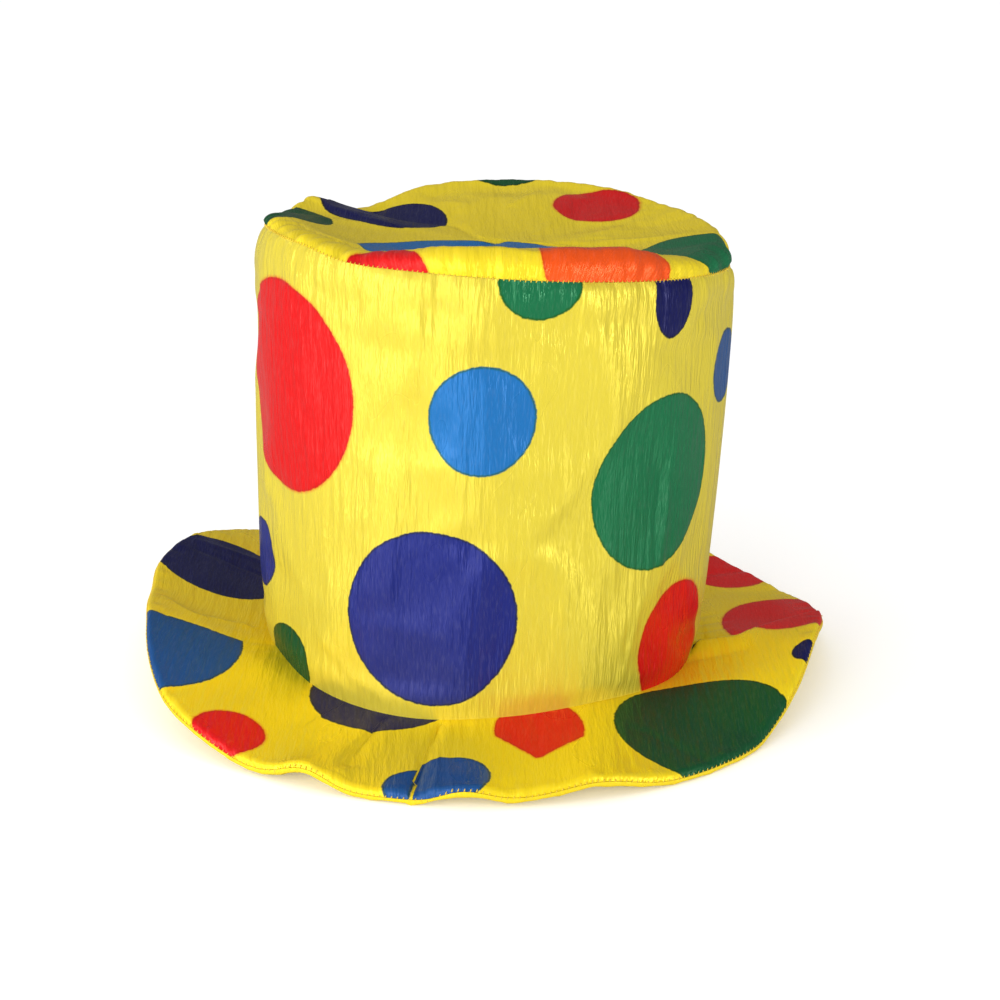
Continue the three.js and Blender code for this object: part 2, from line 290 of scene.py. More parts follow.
def lay_ring(ring, first, last, rows, place, known_reach, known_row):
    """Lays each point by its turn and row, and remembers how far along the cloth it lies."""
    started = places_of(ring)
    radii = np.hypot(started[:, 0], started[:, 1])
    row_of = np.rint((radii - first) / (last - first) * (len(rows) - 1)).astype(int)
    pole = radii < POLE_SHARE * max(first, last) / 2
    column_of = np.rint(turns_about(started, (0, 0)) / STEP).astype(int) % COLUMNS
    table = [[place(STEP * column, row) for row in rows] for column in range(COLUMNS)]
    spans = np.array([[(b - a).length for a, b in zip(column, column[1:])] for column in table])
    along = np.concatenate([[0], np.cumsum(spans.mean(0))])
    reach = known_reach + np.sign(last - first) * (along - along[known_row])
    laid = []
    flat = []
    for column, row, at_pole in zip(column_of, row_of, pole):
        if at_pole:
            laid.append(surface("crown_top", Vector((*top_middle, 1)), Vector((0, 0, -1))))
            flat.append((0, 0, 1))
        else:
            sideways = outward(STEP * column) * reach[row]
            laid.append(table[column][row])
            flat.append((sideways.x, sideways.y, row / (len(rows) - 1)))
    move_to(ring, laid)
    remember(ring, flat)
    return reach


def signed_turn(turn):
    return (turn + 180) % 360 - 180


def top_place(turn, row):
    seam = at_turn(wall_seam, signed_turn(turn))
    middle = Vector((*top_middle, seam + CLEAR_OF_SEAM))
    if row.fan is None:
        above = middle + outward(turn) * seam_radius * row.reach + Vector((0, 0, CAST_DOWN))
        return surface("crown_top", above, Vector((0, 0, -1)))
    tilt = math.radians(row.fan)
    ray = outward(turn) * math.cos(tilt) + Vector((0, 0, math.sin(tilt)))
    inside = middle + outward(turn) * (seam_radius - ROLL_DEPTH)
    place = surface("crown_top", inside + ray * CAST_DOWN, -ray)
    if row.fan == 0:
        place.z = seam + SEWN_GAP
    return place


def brim_place(turn, row, node, side):
    """side is 1 for the spotted layer, seen from above, and -1 for the plain one, seen from below."""
    edge = at_turn(brim_edge, signed_turn(turn))
    seam = at_turn(brim_seam, signed_turn(turn))
    middle = Vector((*base_middle, seam + CLEAR_OF_SEAM * side))
    if row.fan is None:
        width = edge - EDGE_DEPTH - wall_radius
        reach = wall_radius + width * row.reach / 0.9 if row.reach >= 0 else head_radius + 0.15 * MM
        above = middle + outward(turn) * reach + Vector((0, 0, CAST_DOWN * side))
        return surface(node, above, Vector((0, 0, -side)))
    tilt = math.radians(row.fan) * side
    ray = outward(turn) * math.cos(tilt) + Vector((0, 0, math.sin(tilt)))
    inside = middle + outward(turn) * (edge - EDGE_DEPTH)
    place = surface(node, inside + ray * 8 * EDGE_DEPTH, -ray)
    if row.fan == 0:
        place.z = seam - 2 * SEWN_GAP if side < 0 else seam
    return place


top_last = POLE_SHARE * seam_radius
top = ring_panel("top_panel", seam_radius, top_last, len(TOP_ROWS), wall_seam.mean(), pole=True)
top_reach = lay_ring(top, seam_radius, top_last, TOP_ROWS, top_place, top_last, len(TOP_ROWS) - 1)
smoother(top, 1)


def brim_panel(name, node, side):
    brim = ring_panel(name, head_radius, brim_edge.mean(), len(BRIM_ROWS), brim_seam.mean())
    lay_ring(
        brim, head_radius, brim_edge.mean(), BRIM_ROWS,
        lambda turn, row: brim_place(turn, row, node, side), wall_radius, 1,
    )
    if side < 0:
        brim.data.flip_normals()
    smoother(brim, 1)
    return brim


brim_spotted = brim_panel("brim_spotted", "brim_upper", 1)
brim_plain = brim_panel("brim_plain", "brim_under", -1)
print("top", len(top.data.vertices), "points, brim", len(brim_spotted.data.vertices), "points")
print("top reach at the seam, mm:", round(1000 * top_reach[0], 1))

# %% [markdown]
# ## Let the cloth settle
# Satin on foam is never quite flat. A short cloth simulation on a panel that is one or two
# hundredths too large makes it buckle between its sewn rows, the way the real one does. It
# runs without gravity, no point may move far, and its result is kept as the mesh.

# %% Simulate the wall and the top
def settle(piece, sewn, growth, cap, frames=14):
    before = places_of(piece)
    group = piece.vertex_groups.new(name="sewn")
    group.add([int(i) for i in np.flatnonzero(sewn)], 1.0, "REPLACE")
    only(piece)
    cloth = piece.modifiers.new("Cloth", "CLOTH")
    cloth.settings.quality = 5
    cloth.settings.mass = 0.15
    cloth.settings.tension_stiffness = 25
    cloth.settings.compression_stiffness = 25
    cloth.settings.shear_stiffness = 15
    cloth.settings.bending_stiffness = 0.3
    cloth.settings.shrink_min = -growth
    cloth.settings.vertex_group_mass = "sewn"
    cloth.settings.effector_weights.gravity = 0
    cloth.collision_settings.use_collision = False
    cloth.collision_settings.use_self_collision = False
    for step in range(1, frames + 1):
        bpy.context.scene.frame_set(step)
    bpy.ops.object.modifier_apply(modifier=cloth.name)
    bpy.context.scene.frame_set(1)
    piece.vertex_groups.clear()
    moved = places_of(piece) - before
    far = np.linalg.norm(moved, axis=1, keepdims=True)
    move_to(piece, before + moved * np.minimum(1, cap / np.maximum(far, 1e-9)))
    print(piece.name, "settled by up to", round(1000 * min(far.max(), cap), 2), "mm")


wall_flat = remembered(wall)
wall_flat_turns = turns_about(wall_flat, (0, 0))
from_foot = wall_flat[:, 2] - at_turn(wall_foot, wall_flat_turns)
from_seam = at_turn(wall_seam, wall_flat_turns) - wall_flat[:, 2]
settle(wall, (from_foot < 6 * MM) | (from_seam < 2 * MM), growth=0.008, cap=1.2 * MM)
smoother(wall, 1)

top_flat = remembered(top)
top_out = np.hypot(top_flat[:, 0], top_flat[:, 1])
settle(top, top_out > top_reach[3], growth=0.012, cap=1.5 * MM)
# the roll's crest turns so sharply that its rows would fold over each other, so it is relaxed
crest = top.vertex_groups.new(name="crest")
on_crest = (top_out < top_reach[3]) & (top_out > top_reach[10])
crest.add([int(i) for i in np.flatnonzero(on_crest)], 1.0, "REPLACE")
apply(top, "SMOOTH", factor=0.5, iterations=4, vertex_group="crest")
top.vertex_groups.clear()
smoother(top, 1)
smoother(brim_spotted, 1)
smoother(brim_plain, 1)

# %% [markdown]
# ## Press in the creases
# Each fold of the photographed hat is one row of a table: its depth in millimetres where it
# starts and ends, plus for a ridge and minus for a valley, how softly it fades before and after
# its path, and the path itself. Paths run up the wall or out from the middle, and before is the
# side of the lower turns. One function presses any table into any panel.

# %% Creases
Crease = namedtuple("Crease", "start end before after path")


def on_wall(turn, height):
    return (math.radians(turn) * wall_radius, height * MM)


def on_round(turn, reach):
    place = outward(turn) * reach * MM
    return (place.x, place.y)


def beside(flat, path):
    """Signed distance from a path, plus on its right, and how far along it each point is, 0 to 1."""
    best = np.full(len(flat), np.inf)
    signed = np.zeros(len(flat))
    along = np.zeros(len(flat))
    spans = [math.dist(a, b) for a, b in zip(path, path[1:])]
    run = 0
    for a, b, span in zip(path, path[1:], spans):
        a, b = np.array(a), np.array(b)
        share = np.clip((flat - a) @ (b - a) / span ** 2, 0, 1)
        off = flat - (a + share[:, None] * (b - a))
        far = np.hypot(off[:, 0], off[:, 1])
        side = (b - a)[1] * (flat - a)[:, 0] - (b - a)[0] * (flat - a)[:, 1]
        nearer = far < best
        best[nearer] = far[nearer]
        signed[nearer] = (np.sign(side) * far)[nearer]
        along[nearer] = ((run + share * span) / sum(spans))[nearer]
        run += span
    return signed, along


def press(flat, creases, to_flat):
    after_is = 1 if to_flat is on_wall else -1
    height = np.zeros(len(flat))
    for crease in creases:
        signed, along = beside(flat, [to_flat(*point) for point in crease.path])
        width = np.where(signed * after_is > 0, crease.after, crease.before) * MM
        depth = crease.start + (crease.end - crease.start) * along
        height += depth * MM * np.exp(-(np.abs(signed) / width) ** 1.4)
    return height


def gathers(turns, down, seed, pitch):
    """Uneven ridges across a seam, between about -1 and 1. down and pitch are in metres."""
    ridges = []
    for turn, depth in zip(turns, down):
        round_it = outward(turn) * wall_radius / pitch
        coarse = noise.noise(Vector((round_it.x, round_it.y, seed + depth / (6 * pitch))))
        fine = noise.noise(Vector((2.3 * round_it.x, 2.3 * round_it.y, seed + 7 + depth / (5 * pitch))))
        ridges.append(1.5 * coarse + 0.8 * fine)
    return np.array(ridges)


WALL_CREASES = [
    # the long fold right of the first bright band, and the hollow beside it
    Crease(0.6, 1.5, 16, 3, ((-21.6, 70), (-21.4, 113), (-19.6, 147), (-16, 177), (-15, 205))),
    Crease(-0.3, -0.8, 4, 9, ((-17, 113), (-15, 147), (-12, 177), (-10, 200))),
    # the second bright band, and the hollow left of it
    Crease(1.3, 1.7, 7, 13, ((24.7, 15), (28.9, 77), (29.8, 138), (21, 192))),
    Crease(-0.1, -1.2, 9, 12, ((8, 50), (7, 120), (5, 160))),
    # upright crinkles in the lower half of the green dot
    Crease(-0.7, -0.5, 1.6, 1.6, ((44.8, 70), (45.5, 96), (44.5, 112))),
    Crease(0.6, 0.5, 1.8, 1.8, ((47.6, 68), (48.0, 92), (47.2, 110))),
    Crease(-0.6, -0.4, 1.8, 1.6, ((50, 66), (50.8, 84), (50.2, 102))),
    # the zigzag crinkle below it
    Crease(0.7, 0.7, 2.2, 1.4, ((36.7, 19), (39.2, 37), (41.8, 54), (44.5, 71))),
    Crease(-0.6, -0.5, 1.6, 2.2, ((34.4, 18), (37, 33), (39.4, 48), (42.2, 62))),
    Crease(-0.4, -0.5, 1.8, 1.8, ((41.8, 14), (36, 24), (30.3, 36))),
    # faint level wrinkles over the middle
    Crease(-0.35, -0.25, 1.8, 1.8, ((1, 97), (9, 95), (18, 96))),
    Crease(-0.2, -0.3, 2, 2, ((6, 86), (15, 85))),
    # a hollow beside the right edge of the indigo dot and a slanting dent low on the left
    Crease(-1.0, -0.1, 6, 8, ((3, 18), (4, 55), (6, 100))),
    Crease(0.4, 0.7, 4, 3, ((-28, 19), (-36, 26), (-43, 36))),
    Crease(-0.4, -0.5, 3, 2.5, ((-27, 15), (-34, 20), (-41, 29))),
    # the bright fold at the right end of the top seam
    Crease(0.5, 1.0, 2.2, 2.2, ((57.6, 166), (57, 178), (56, 190))),
    # round the side and back, where the camera does not look
    Crease(0.7, 1.3, 10, 6, ((103, 25), (98, 80), (101, 140), (96, 190))),
    Crease(-0.6, -1.0, 7, 10, ((126, 70), (122, 140), (128, 188))),
    Crease(0.6, 0.8, 4, 7, ((149, 30), (154, 80), (150, 120))),
    Crease(0.6, 0.4, 9, 5, ((-108, 40), (-103, 90), (-106, 150), (-101, 196))),
    Crease(-0.7, -0.9, 9, 7, ((-134, 70), (-131, 140), (-136, 190))),
    Crease(0.5, 0.7, 3, 5, ((-151, 24), (-157, 70), (-152, 110))),
]

wall_flat = remembered(wall)
wall_flat_turns = turns_about(wall_flat, (0, 0))
wall_cloth = np.column_stack([np.radians(wall_flat_turns) * wall_radius, wall_flat[:, 2]])
from_foot = np.maximum(wall_flat[:, 2] - at_turn(wall_foot, wall_flat_turns), 0)
from_seam = np.maximum(at_turn(wall_seam, wall_flat_turns) - wall_flat[:, 2], 0)
pressed = press(wall_cloth, WALL_CREASES, on_wall)
under_seam = np.exp(-(from_seam / (6 * MM)) ** 1.3)
pressed += gathers(wall_flat_turns, from_seam, seed=3, pitch=5 * MM) * 1.3 * MM * under_seam
long_seam = (180 - np.abs(wall_flat_turns)) * math.radians(1) * wall_radius
pressed -= 1.1 * MM * np.exp(-(long_seam / (1.6 * MM)) ** 2)
held = np.clip(from_seam / (2 * MM), 0, 1) * np.clip(from_foot / (8 * MM), 0, 1)
move_to(wall, places_of(wall) + normals_of(wall) * (pressed * held)[:, None])
print("wall pressed from", round(1000 * pressed.min(), 1), "to", round(1000 * pressed.max(), 1), "mm")

# %% [markdown]
# ## Creases of the top and the brim
# The top's rim is gathered onto the seam, so soft upright puckers run up the roll. On the brim
# both layers are sewn together at the edge and fold as one, so the same table lifts and lowers
# both of them by the same amount.

# %% Press the top and the brim
TOP_CREASES = [
    # the pinched ridge that runs in from the left corner and hides part of the navy dot
    Crease(0.8, 1.6, 7, 2.2, ((-112, 52), (-111, 66), (-114, 80), (-119, 100))),
    Crease(-0.5, -0.9, 2, 7, ((-122, 60), (-122, 74), (-126, 92))),
    Crease(-0.4, -0.6, 2.5, 4, ((-10, 52), (-24, 70), (-28, 88))),
    Crease(0.3, 0.5, 2, 3, ((12, 40), (8, 58), (4, 72))),
    Crease(0.5, 0.4, 2, 3, ((172, 60), (165, 82))),
    Crease(-0.5, -0.3, 3, 3, ((60, 40), (52, 62), (44, 80))),
    Crease(0.5, 0.4, 3, 4, ((110, 50), (120, 76))),
]

top_flat = remembered(top)
top_flat_turns = turns_about(top_flat, (0, 0))
top_cloth = top_flat[:, :2]
above_seam = np.maximum(top_reach[0] - np.hypot(top_cloth[:, 0], top_cloth[:, 1]), 0)
on_roll = np.exp(-(above_seam / (13 * MM)) ** 2)
pressed = press(top_cloth, TOP_CREASES, on_round)
pressed += gathers(top_flat_turns, above_seam, seed=7, pitch=6 * MM) * 1.3 * MM * on_roll
held = np.clip(above_seam / (2 * MM), 0, 1)
move_to(top, places_of(top) + normals_of(top) * (pressed * held)[:, None])

BRIM_CREASES = [
    Crease(-1.2, -1.6, 1.5, 2.5, ((-23.2, 104), (-22.1, 130), (-21.1, 147))),
    Crease(1.0, 1.4, 1.5, 3.0, ((-19.6, 149), (-20.6, 155))),
    Crease(-1.4, -2.0, 1.2, 1.2, ((-9, 101), (-9.6, 120), (-9, 163))),
    Crease(0.8, 1.0, 2.5, 3.0, ((-6.5, 108), (-6.8, 130), (-6.2, 160))),
    Crease(-0.6, -0.3, 1.2, 1.2, ((-2.3, 105), (-3.3, 128))),
    Crease(-0.7, -0.5, 1.2, 1.4, ((13.8, 101), (9.9, 136), (7.4, 150), (5.7, 162))),
    Crease(-0.6, -1.0, 4.0, 2.0, ((32.6, 128), (34.9, 145), (36.2, 160))),
    Crease(2.4, 2.6, 12.0, 2.0, ((77.3, 102), (76.1, 123), (82.0, 140), (88.0, 158))),
    Crease(-1.6, -2.0, 2.2, 7.0, ((80.5, 102), (79.5, 123), (85.5, 140), (91.0, 156))),
    Crease(-1.2, -0.8, 3.0, 3.0, ((69.4, 101), (70.2, 114), (70.6, 128))),
    Crease(1.4, 1.2, 2.0, 4.0, ((-77.8, 112), (-75.8, 137), (-78.1, 145), (-81.4, 154))),
    Crease(-0.5, -0.6, 1.2, 1.2, ((-68.8, 143), (-70.5, 150), (-73.0, 156))),
    Crease(-0.7, -0.3, 1.2, 1.2, ((-65, 101), (-63.4, 116))),
    Crease(-0.6, -0.3, 1.2, 1.2, ((-61.7, 101), (-60.6, 112))),
    Crease(-0.6, -0.3, 1.2, 1.2, ((-68.2, 101), (-67.4, 114))),
    Crease(0.7, 0.9, 2.0, 2.0, ((-121, 104), (-118.1, 124), (-112.9, 155))),
    Crease(-0.6, -0.8, 1.6, 2.0, ((-113, 102), (-111.9, 116), (-109.8, 151))),
    Crease(-0.7, -0.3, 1.4, 1.4, ((86, 101), (87, 116))),
    Crease(-0.7, -0.3, 1.4, 1.4, ((91, 101), (93, 118))),
    Crease(-0.6, -0.3, 1.4, 1.4, ((96, 101), (98, 114))),
    # round the back, where the camera does not look
    Crease(-1.2, -1.0, 2.0, 4.0, ((122, 101), (126, 130), (124, 158))),
    Crease(-0.9, -1.2, 3.0, 2.0, ((151, 101), (147, 128), (149, 160))),
    Crease(-1.1, -1.0, 2.0, 3.0, ((176, 101), (172, 130), (174, 158))),
    Crease(-1.0, -1.1, 2.5, 2.0, ((-158, 101), (-155, 128), (-157, 158))),
    Crease(-1.0, -1.0, 2.0, 3.0, ((-135, 101), (-138, 130), (-136, 158))),
]


def press_brim(brim):
    flat = remembered(brim)
    cloth = flat[:, :2]
    reaches = np.hypot(cloth[:, 0], cloth[:, 1])
    edge_reach = reaches.max()
    pressed = press(cloth, BRIM_CREASES, on_round)
    near_edge = np.exp(-((edge_reach - 5 * MM - reaches) / (5 * MM)) ** 2)
    turns = turns_about(flat, (0, 0))
    pressed += gathers(turns, edge_reach - reaches, seed=11, pitch=5 * MM) * 0.55 * MM * near_edge
    outside = np.clip((edge_reach - reaches) / (3 * MM), 0, 1)
    held = outside * np.clip((reaches - wall_radius) / (3 * MM), 0, 1)
    places = places_of(brim)
    places[:, 2] += pressed * held
    if brim is brim_plain:
        places[:, 2] = np.maximum(places[:, 2], 0)
    move_to(brim, places)


press_brim(brim_spotted)
press_brim(brim_plain)

# %% [markdown]
# ## The print
# The dots are printed on flat cloth, so a UV map gives each point its place there in metres.
# A tuck takes up cloth: the print on both sides of it moves together, and a round dot that it
# crosses comes out pinched, like the heart-like red one at the front of the brim.

# %% Flat places and tucks
Tuck = namedtuple("Tuck", "hidden spread path")
BRIM_TUCKS = [
    Tuck(5, 12, ((-9, 96), (-9.6, 120), (-9, 168))),
    Tuck(6, 9, ((-23.2, 96), (-22.1, 130))),
    Tuck(4, 6, ((-36, 94), (-35.4, 120))),
    Tuck(16, 14, ((77.3, 96), (78, 123), (89.5, 162))),
    Tuck(14, 14, ((-77.8, 106), (-75.8, 132), (-78.1, 145), (-82.5, 168))),
]


def tucked(cloth, tucks):
    moved = cloth.copy()
    for tuck in tucks:
        path = [on_round(*point) for point in tuck.path]
        signed, along = beside(cloth, path)
        (ax, ay), (bx, by) = path[0], path[-1]
        across = np.array([by - ay, ax - bx]) / math.dist(path[0], path[-1])
        pull = np.sign(signed) * tuck.hidden / 2 * MM * np.exp(-np.abs(signed) / (tuck.spread * MM))
        moved += pull[:, None] * across
    return moved


def print_places(piece, places):
    uv = piece.data.uv_layers.new(name="cloth")
    corners = np.empty(len(piece.data.loops), np.int32)
    piece.data.loops.foreach_get("vertex_index", corners)
    flat = places[corners]
    if piece is wall:
        # the long seam is both ends of the strip: each face takes the end on its own side
        flat = flat.reshape(-1, 4, 2)
        end = math.pi * wall_radius
        at_end = np.abs(flat[:, :, 0]) > end - 0.1 * MM
        side = np.sign(np.where(at_end, 0, flat[:, :, 0]).sum(1, keepdims=True))
        flat[:, :, 0] = np.where(at_end, side * end, flat[:, :, 0])
    uv.data.foreach_set("uv", flat.astype(np.float32).ravel())


print_places(wall, wall_cloth)
print_places(top, top_cloth)
print_places(brim_spotted, tucked(remembered(brim_spotted)[:, :2], BRIM_TUCKS))
print_places(brim_plain, remembered(brim_plain)[:, :2])

# %% Inks and helpers for materials
Ink = namedtuple("Ink", "red green blue halo")
# navy and deep green are darker copies of indigo and green, partly painted shade: most of their dots lie on the
# top and the brim, which the lamps light less than the wall
INKS = {
    "red": Ink(0.72, 0.004, 0.006, 0.5),
    "light blue": Ink(0.012, 0.16, 0.46, 0.0),
    "blue": Ink(0.008, 0.075, 0.26, 0.0),
    "indigo": Ink(0.012, 0.021, 0.20, 0.0),
    "navy": Ink(0.004, 0.006, 0.085, 0.0),
    "green": Ink(0.008, 0.16, 0.06, 0.0),
    "deep green": Ink(0.003, 0.08, 0.024, 0.0),
    "orange": Ink(0.88, 0.09, 0.008, 0.3),
}


def add(tree, kind, inputs=None, **settings):
    made = tree.nodes.new("ShaderNode" + kind)
    for name, value in settings.items():
        setattr(made, name, value)
    for key, value in (inputs or {}).items():
        if isinstance(value, bpy.types.NodeSocket):
            tree.links.new(value, made.inputs[key])
        else:
            made.inputs[key].default_value = value
    return made


def math_node(tree, operation, *values, clamp=False):
    return add(tree, "Math", dict(enumerate(values)), operation=operation, use_clamp=clamp).outputs[0]


def mix_colour(tree, share, first, second, blend="MIX"):
    mixed = add(tree, "Mix", {"Factor": share}, data_type="RGBA", blend_type=blend)
    for socket, value in ((mixed.inputs[6], first), (mixed.inputs[7], second)):
        if isinstance(value, bpy.types.NodeSocket):
            tree.links.new(value, socket)
        else:
            socket.default_value = (*value[:3], 1)
    return mixed.outputs[2]


def fade(tree, value, start, end, low=0.0, high=1.0):
    wanted = {"Value": value, "From Min": start, "From Max": end, "To Min": low, "To Max": high}
    return add(tree, "MapRange", wanted).outputs["Result"]


def new_group(name, inputs, outputs):
    group = bpy.data.node_groups.new(name, "ShaderNodeTree")
    kinds = {"vector": "NodeSocketVector", "value": "NodeSocketFloat", "colour": "NodeSocketColor"}
    for socket, kind in inputs:
        group.interface.new_socket(name=socket, in_out="INPUT", socket_type=kinds[kind])
    for socket, kind in outputs:
        group.interface.new_socket(name=socket, in_out="OUTPUT", socket_type=kinds[kind])
    return group, group.nodes.new("NodeGroupInput").outputs, group.nodes.new("NodeGroupOutput")


# %% [markdown]
# ## A printed dot
# Ink bleeds a little into satin. Each dot is a disc with a thin darker rim, where ink lies over
# the yellow, and the reds have a fine orange halo. A dot may be narrower than it is tall, where
# crinkles take up cloth, and a pleat may swallow what lies beyond a line. One node group prints
# one dot over whatever colour comes in, and a material chains as many as its table has rows.

# %% The dot group
dot_group, given, result = new_group(
    "printed_dot",
    [("Place", "vector"), ("Centre", "vector"), ("Stretch", "vector"), ("Radius", "value"),
     ("Under", "colour"), ("Ink", "colour"), ("Halo", "value"),
     ("Beyond", "vector"), ("Cut", "value"), ("Beyond 2", "vector"), ("Cut 2", "value")],
    [("Colour", "colour")],
)
tree = dot_group
offset = add(tree, "VectorMath", {0: given["Place"], 1: given["Centre"]}, operation="SUBTRACT")
widened = add(tree, "VectorMath", {0: offset.outputs[0], 1: given["Stretch"]}, operation="MULTIPLY")
apart = add(tree, "VectorMath", {0: widened.outputs[0]}, operation="LENGTH").outputs["Value"]
inside = math_node(tree, "SUBTRACT", given["Radius"], apart)
for beyond, cut in (("Beyond", "Cut"), ("Beyond 2", "Cut 2")):
    across = add(tree, "VectorMath", {0: given["Place"], 1: given[beyond]}, operation="DOT_PRODUCT")
    left = math_node(tree, "SUBTRACT", given[cut], across.outputs["Value"])
    inside = math_node(tree, "MINIMUM", inside, left)
inked = fade(tree, inside, -0.25 * MM, 0.25 * MM)
halo = math_node(tree, "MULTIPLY", fade(tree, inside, -1.4 * MM, 0.0), given["Halo"])
off_rim = math_node(tree, "ABSOLUTE", math_node(tree, "SUBTRACT", inside, 0.35 * MM))
rim = fade(tree, off_rim, 0.7 * MM, 0.1 * MM, 0, 0.75)
haloed = mix_colour(tree, halo, given["Under"], given["Ink"])
filled = mix_colour(tree, inked, haloed, given["Ink"])
over_yellow = mix_colour(tree, 1.0, given["Ink"], (0.75, 0.6, 0.05), blend="MULTIPLY")
tree.links.new(mix_colour(tree, rim, filled, over_yellow), result.inputs["Colour"])

# %% [markdown]
# ## Satin
# Satin is mostly long floating threads. Close by they show as fine streaks along the cloth,
# further off as a soft gloss that every small crinkle breaks up. One group gives all three:
# a height for the bump, streaks that mottle the ink, and a gloss that varies a little.

# %% The satin group
satin_group, given, result = new_group(
    "satin_threads",
    [("Place", "vector"), ("Crinkle", "value")],
    [("Height", "value"), ("Streaks", "value"), ("Gloss", "value"), ("Wobble", "vector")],
)
tree = satin_group


def thread_noise(across, along, detail=2.0):
    """Noise drawn out along the threads: sizes in millimetres."""
    stretch = (1 / (across * MM), 1 / (along * MM), 1)
    scaled = add(tree, "VectorMath", {0: given["Place"], 1: stretch}, operation="MULTIPLY")
    wanted = {"Vector": scaled.outputs[0], "Scale": 1.0, "Detail": detail, "Roughness": 0.55}
    return add(tree, "TexNoise", wanted, noise_dimensions="2D")


streaks = thread_noise(0.8, 5.0)
threads = thread_noise(0.3, 2.4, detail=1.0)
crinkle = thread_noise(4.0, 30.0, detail=3.0)
soft = thread_noise(26.0, 60.0, detail=1.0)
fine = math_node(tree, "MULTIPLY", threads.outputs["Fac"], 0.10)
middle = math_node(tree, "MULTIPLY", streaks.outputs["Fac"], 0.16)
large = math_node(tree, "MULTIPLY", crinkle.outputs["Fac"], given["Crinkle"])
height = math_node(tree, "ADD", math_node(tree, "ADD", fine, middle), large)
tree.links.new(height, result.inputs["Height"])
tree.links.new(fade(tree, streaks.outputs["Fac"], 0.52, 0.72), result.inputs["Streaks"])
tree.links.new(soft.outputs["Fac"], result.inputs["Gloss"])
wobble = thread_noise(2.2, 2.2)
centred = add(tree, "VectorMath", {0: wobble.outputs["Color"], 1: (0.5, 0.5, 0.5)}, operation="SUBTRACT")
shifted = add(tree, "VectorMath", {0: centred.outputs[0], "Scale": 0.9 * MM}, operation="SCALE")
tree.links.new(shifted.outputs[0], result.inputs["Wobble"])

# %% The satin materials
# degrees, then millimetres; narrow is height over width; ink stays on the left of each cut
Dot = namedtuple("Dot", "ink turn reach size narrow cuts", defaults=(1.0, ()))
NO_CUT = ((0, 0), 1.0)


def cut_line(start, end, to_flat):
    """Direction to the far side of a line and where the line lies along it."""
    (ax, ay), (bx, by) = to_flat(*start), to_flat(*end)
    length = math.dist((ax, ay), (bx, by))
    beyond = ((by - ay) / length, (ax - bx) / length)
    return beyond, ax * beyond[0] + ay * beyond[1]


def satin_material(name, yellow, dots, to_flat, crinkle, roughness=0.31):
    material = bpy.data.materials.new(name)
    material.use_nodes = True
    tree = material.node_tree
    shader = tree.nodes["Principled BSDF"]
    place = add(tree, "UVMap", uv_map="cloth").outputs["UV"]
    satin = add(tree, "Group", node_tree=satin_group)
    tree.links.new(place, satin.inputs["Place"])
    satin.inputs["Crinkle"].default_value = crinkle
    wobbled = add(tree, "VectorMath", {0: place, 1: satin.outputs["Wobble"]}).outputs[0]
    colour = mix_colour(tree, satin.outputs["Gloss"], yellow, [0.93 * part for part in yellow])
    for dot in dots:
        printed = add(tree, "Group", node_tree=dot_group)
        ink = INKS[dot.ink]
        printed.inputs["Centre"].default_value = (*to_flat(dot.turn, dot.reach), 0)
        printed.inputs["Stretch"].default_value = (dot.narrow, 1, 1)
        printed.inputs["Radius"].default_value = dot.size / 2 * MM
        cuts = [cut_line(start, end, to_flat) for start, end in dot.cuts] + [NO_CUT] * 2
        for (beyond, at), suffix in zip(cuts, ("", " 2")):
            printed.inputs["Beyond" + suffix].default_value = (*beyond, 0)
            printed.inputs["Cut" + suffix].default_value = at
        printed.inputs["Ink"].default_value = (ink.red, ink.green, ink.blue, 1)
        printed.inputs["Halo"].default_value = ink.halo
        tree.links.new(wobbled, printed.inputs["Place"])
        tree.links.new(colour, printed.inputs["Under"])
        colour = printed.outputs["Colour"]
    faded = math_node(tree, "MULTIPLY", satin.outputs["Streaks"], 0.02)
    colour = mix_colour(tree, faded, colour, (0.7, 0.7, 0.7))
    tree.links.new(colour, shader.inputs["Base Color"])
    rough = fade(tree, satin.outputs["Gloss"], 0.3, 0.7, roughness - 0.04, roughness + 0.05)
    tree.links.new(rough, shader.inputs["Roughness"])
    # the dyed threads tint what they mirror, so a part of the satin is metal-like
    shader.inputs["Metallic"].default_value = 0.3
    shader.inputs["Specular IOR Level"].default_value = 0.4
    shader.inputs["Specular Tint"].default_value = (1.0, 0.97, 0.85, 1)
    shader.inputs["Anisotropic"].default_value = 0.9
    shader.inputs["Anisotropic Rotation"].default_value = 0.25
    tangent = add(tree, "Tangent", direction_type="UV_MAP", uv_map="cloth").outputs["Tangent"]
    tree.links.new(tangent, shader.inputs["Tangent"])
    bump = add(tree, "Bump", {"Height": satin.outputs["Height"], "Distance": 0.6 * MM, "Strength": 0.8})
    tree.links.new(bump.outputs["Normal"], shader.inputs["Normal"])
    return material


WALL_DOTS = [
    Dot("red", -56.6, 142.0, 91.5, 1.10),
    Dot("light blue", -1.5, 140.4, 45.5, 1.05),
    Dot("indigo", -12.5, 53.4, 77.4, 1.06),
    Dot("green", 45.0, 105.4, 77.0, 1.14),
    Dot("blue", 74.2, 144.5, 32.0),
    Dot("indigo", -75.3, 57.0, 31.0),
    Dot("red", 57.6, 25.5, 57.0, 1.10),
    Dot("deep green", -57.9, 15.0, 34.9),
    Dot("green", 10.4, 198.2, 33.2, 1.03),
    Dot("navy", 44.1, 186.4, 36.0, 1.68),
    Dot("orange", 102, 88, 58),
    Dot("indigo", 118, 168, 46),
    Dot("green", 140, 58, 40),
    Dot("red", 158, 138, 66),
    Dot("light blue", 172, 40, 30),
    Dot("indigo", -160, 82, 62),
    Dot("orange", -166, 172, 40),
    Dot("green", -128, 142, 58),
    Dot("red", -122, 48, 44),
    Dot("light blue", -101, 96, 34),
    Dot("navy", -98, 186, 26),
]
